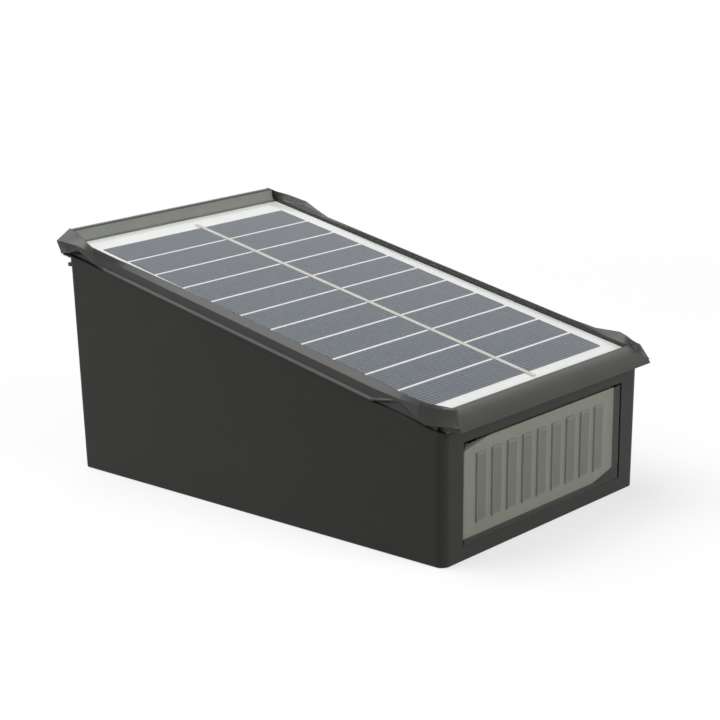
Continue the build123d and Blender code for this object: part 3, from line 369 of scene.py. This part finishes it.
dress(opal, "ribbed_diffuser")

# --- Window -------------------------------------------------------------------------------
# A clear pane, moulded in slightly smoky polycarbonate, with a flange behind the wall. It is
# thin, so it is drawn as a film that lets the diffuser show and mirrors the room.


def clear_film(name, tint, normal_share, grazing_share, roughness, wave_mm, wave_depth_mm):
    """Thin clear plastic: straight through, less what its outer face mirrors."""
    material = bpy.data.materials.new(name)
    material.use_nodes = True
    tree = material.node_tree
    tree.nodes.clear()
    place = add_node(tree, "ShaderNodeTexCoord")
    waves = add_node(tree, "ShaderNodeTexNoise", [("Vector", place.outputs["Object"])],
                     Scale=per_mm(wave_mm), Detail=1.0)
    bump = add_node(tree, "ShaderNodeBump", [("Height", waves.outputs["Fac"])], Strength=1.0,
                    Distance=wave_depth_mm / 1000)
    facing = add_node(tree, "ShaderNodeLayerWeight", Blend=0.5)
    steep = add_node(tree, "ShaderNodeMath", [(0, facing.outputs["Facing"]), (1, 5.0)],
                     operation="POWER")
    share = add_node(tree, "ShaderNodeMath", [(0, steep.outputs[0]), (1, grazing_share),
                                              (2, normal_share)], operation="MULTIPLY_ADD")
    side = add_node(tree, "ShaderNodeNewGeometry")
    outside = add_node(tree, "ShaderNodeMath", [(0, 1.0), (1, side.outputs["Backfacing"])],
                       operation="SUBTRACT")
    mirrored_share = add_node(tree, "ShaderNodeMath", [(0, share.outputs[0]), (1, outside.outputs[0])],
                              operation="MULTIPLY")
    through = add_node(tree, "ShaderNodeBsdfTransparent", Color=srgb(tint))
    mirrored = add_node(tree, "ShaderNodeBsdfAnisotropic", [("Normal", bump.outputs["Normal"])],
                        Color=srgb("#ffffff"), Roughness=roughness)
    film = add_node(tree, "ShaderNodeMixShader", [(0, mirrored_share.outputs[0]),
                                                  (1, through.outputs[0]), (2, mirrored.outputs[0])])
    add_node(tree, "ShaderNodeOutputMaterial", [("Surface", film.outputs[0])])
    return material


smoke_pane = clear_film("smoke_polycarbonate", "#f2f2ef", normal_share=0.04, grazing_share=0.96,
                        roughness=0.12, wave_mm=6.0, wave_depth_mm=0.004)
dress(smoke_pane, "window_lens")
dress(silicone, "lens_gasket")

# --- Leads --------------------------------------------------------------------------------
# Pairs of stranded wires in soft, half-matt PVC, one red and one black in each pair. They are
# soldered at one end and end in plugs on the control board.

# Middle of each pair in X, and how far it swings to the right between its ends.
pair_routes = (("panel_leads", -0.0177, 0.0018), ("led_leads", 0.0, 0.0), ("battery_leads", 0.018, 0.0))
swing_out_start = 0.0075  # in Y
swing_out_end = 0.018
swing_back_start = 0.0235
swing_back_end = 0.0285

for pair, middle_x, swing in pair_routes:
    pvc, shader = new_material("stranded_wire_pvc", Roughness=0.4, IOR=1.53)
    where, black = mottle(pvc, shader, "#161616", "#1a1a1a", patch_mm=3, grain_mm=0.5,
                          grain_depth_mm=0.004)
    tree = pvc.node_tree
    parts = add_node(tree, "ShaderNodeSeparateXYZ", [(0, where)])
    swing_out = add_node(tree, "ShaderNodeMapRange", [("Value", parts.outputs["Y"])],
                         From_Min=swing_out_start, From_Max=swing_out_end, To_Min=middle_x,
                         To_Max=middle_x + swing)
    swing_back = add_node(tree, "ShaderNodeMapRange", [("Value", parts.outputs["Y"])],
                          From_Min=swing_back_start, From_Max=swing_back_end, To_Min=0.0, To_Max=swing)
    past_middle = add_node(tree, "ShaderNodeMath", [(0, parts.outputs["X"]), (1, swing_out.outputs[0])],
                           operation="SUBTRACT")
    past_middle = add_node(tree, "ShaderNodeMath", [(0, past_middle.outputs[0]),
                                                    (1, swing_back.outputs[0])], operation="ADD")
    is_red = add_node(tree, "ShaderNodeMath", [(0, past_middle.outputs[0]), (1, 0.0)],
                      operation="GREATER_THAN")
    colour = add_node(tree, "ShaderNodeMixRGB", [(0, is_red.outputs[0]), (1, black),
                                                 (2, srgb("#9c1b16"))])
    tree.links.new(colour.outputs[0], shader.inputs["Base Color"])
    dress(pvc, pair)

# --- Screws -------------------------------------------------------------------------------
# Cold-headed steel screws with pan heads, zinc plated to a soft bluish grey.

zinc, shader = new_material("zinc_plated_steel", Roughness=0.33, Metallic=1.0)
mottle(zinc, shader, "#9b9da0", "#b4b6b8", patch_mm=3, grain_mm=0.4, grain_depth_mm=0.006)
dress(zinc, "frame_screws", "board_screws", "foot_screws", "led_board_screws", "holder_screws")

# --- Top frame ----------------------------------------------------------------------------
# One satin moulding of dark grey ABS, with an upstanding back edge, a rounded front lip and
# four flared corners. Its edges are a little rounded, and it is smoother than the housing.

satin_abs, shader = new_material("satin_abs", Roughness=0.34, Specular_IOR_Level=0.4)
where, frame_colour = mottle(satin_abs, shader, "#343532", "#393a37", patch_mm=14, grain_mm=0.8,
                             grain_depth_mm=0.008, rounding_mm=0.35)

# Painted light: the back edge's face over the panel is drawn paler than the rest of the frame, its
# colour raised up to six times.
back_edge_start = 0.068  # in Y
back_edge_end = 0.069
steep_enough = (0.75, 0.85)  # how squarely a face looks to the front
back_face_painted_light = 6.0

tree = satin_abs.node_tree
surface = add_node(tree, "ShaderNodeNewGeometry")
toward_front = add_node(tree, "ShaderNodeVectorMath", [(0, surface.outputs["Normal"]), (1, (0, -1, 0))],
                        operation="DOT_PRODUCT")
upright_face = add_node(tree, "ShaderNodeMapRange", [("Value", toward_front.outputs["Value"])],
                        From_Min=steep_enough[0], From_Max=steep_enough[1])
parts = add_node(tree, "ShaderNodeSeparateXYZ", [(0, where)])
at_back = add_node(tree, "ShaderNodeMapRange", [("Value", parts.outputs["Y"])],
                   From_Min=back_edge_start, From_Max=back_edge_end)
painted_light_mask = add_node(tree, "ShaderNodeMath", [(0, upright_face.outputs["Result"]),
                                              (1, at_back.outputs["Result"])], operation="MULTIPLY")
# Painted light: the back face's colour is multiplied by up to six, so that it reads as lit.
painted_light_scale = add_node(tree, "ShaderNodeMapRange", [("Value", painted_light_mask.outputs[0])], To_Min=1.0,
                 To_Max=back_face_painted_light)
painted_light_colour = add_node(tree, "ShaderNodeVectorMath", [(0, frame_colour), (1, painted_light_scale.outputs["Result"])],
                  operation="MULTIPLY")
tree.links.new(painted_light_colour.outputs[0], shader.inputs["Base Color"])
dress(satin_abs, "top_frame")
dress(silicone, "frame_gasket")

# --- Solar panel --------------------------------------------------------------------------
# A white-faced board held by foam tape. Eleven half-cut silicon cells lie on it in series,
# under a tinned ribbon and a clear laminate.

# Closed-cell foam, dull and pitted.
foam, shader = new_material("black_foam_tape", Roughness=0.85)
mottle(foam, shader, "#1b1b1b", "#262626", patch_mm=2, grain_mm=0.4, grain_depth_mm=0.05)
dress(foam, "panel_tape")

# Screen-printed white lacquer on glass epoxy.
white_board, shader = new_material("white_board_lacquer", Roughness=0.45)
mottle(white_board, shader, "#e3e5e3", "#ebecea", patch_mm=20, grain_mm=1.0, grain_depth_mm=0.004)
dress(white_board, "panel_board")

# Etched blue-grey silicon with printed silver fingers. Real fingers are 0.1 mm wide and about
# 1.2 mm apart, so they are drawn a little wider, to show.
slope = math.radians(11.65)
cell_pitch = 0.012
fingers_per_cell = 10
finger_share = 0.14  # of the silicon's face
finger_pitch = cell_pitch / fingers_per_cell
upslope = Vector((0, math.cos(slope), math.sin(slope)))

silicon, shader = new_material("half_cut_silicon", Roughness=0.5, Specular_IOR_Level=0.0)
tree = silicon.node_tree
place = add_node(tree, "ShaderNodeTexCoord")
along = add_node(tree, "ShaderNodeVectorMath", [(0, place.outputs["Object"]), (1, upslope)],
                 operation="DOT_PRODUCT")
count = add_node(tree, "ShaderNodeMath", [(0, along.outputs["Value"]), (1, 1 / finger_pitch)],
                 operation="MULTIPLY")
phase = add_node(tree, "ShaderNodeMath", [(0, count.outputs[0])], operation="FRACT")
finger = add_node(tree, "ShaderNodeMath", [(0, phase.outputs[0]), (1, finger_share)],
                  operation="LESS_THAN")
crystals = add_node(tree, "ShaderNodeTexNoise", [("Vector", place.outputs["Object"])],
                    Scale=per_mm(2.5), Detail=3.0)
tone = add_node(tree, "ShaderNodeValToRGB", [("Fac", crystals.outputs["Fac"])])
for stop, position, colour in zip(tone.color_ramp.elements, (0.3, 0.7), ("#414b55", "#4d5761")):
    stop.position = position
    stop.color = srgb(colour)
printed = add_node(tree, "ShaderNodeMixRGB", [(0, finger.outputs[0]), (1, tone.outputs["Color"]),
                                              (2, srgb("#78808a"))])
tree.links.new(printed.outputs[0], shader.inputs["Base Color"])
dress(silicon, "solar_cells")

# Flat copper dipped in tin, soft and a little warm in tone.
tinned_copper, shader = new_material("tinned_copper_ribbon", Roughness=0.35, Metallic=0.7)
mottle(tinned_copper, shader, "#c4c1b2", "#d0cdc0", patch_mm=5, grain_mm=0.6, grain_depth_mm=0.01)
dress(tinned_copper, "cell_ribbon", "panel_solder")

# The laminate is drawn as a thin skin with the sheet's own top face, so that no face of it
# lies exactly on the cells.
skin_depth = 0.00018

laminate = clear_film("panel_laminate_film", "#fdfdfd", normal_share=0.04, grazing_share=0.96,
                      roughness=0.08, wave_mm=9.0, wave_depth_mm=0.003)
outward = Vector((0, -math.sin(slope), math.cos(slope)))
sheet_points = [vertex.co for vertex in nodes["panel_sheet"].data.vertices]
sheet_half = max(point.x for point in sheet_points)
sheet_front = min(point.dot(upslope) for point in sheet_points)
sheet_back = max(point.dot(upslope) for point in sheet_points)
sheet_top = max(point.dot(outward) for point in sheet_points)
skin_points = []
for depth in (0, skin_depth):
    for x, y in ((-sheet_half, sheet_front), (sheet_half, sheet_front),
                 (sheet_half, sheet_back), (-sheet_half, sheet_back)):
        skin_points.append(Vector((x, 0, 0)) + upslope * y + outward * (sheet_top - depth))
skin_faces = [(0, 1, 2, 3), (7, 6, 5, 4), (0, 4, 5, 1), (1, 5, 6, 2), (2, 6, 7, 3), (3, 7, 4, 0)]
skin_mesh = bpy.data.meshes.new("laminate_skin")
skin_mesh.from_pydata(skin_points, [], skin_faces)
skin_mesh.materials.append(laminate)
skin = bpy.data.objects.new("laminate_skin", skin_mesh)
bpy.context.scene.collection.objects.link(skin)
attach(skin, "shell")
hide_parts("panel_sheet")

# --- Update -------------------------------------------------------------------------------
# The scene's view layer is brought up to date.

bpy.context.view_layer.update()
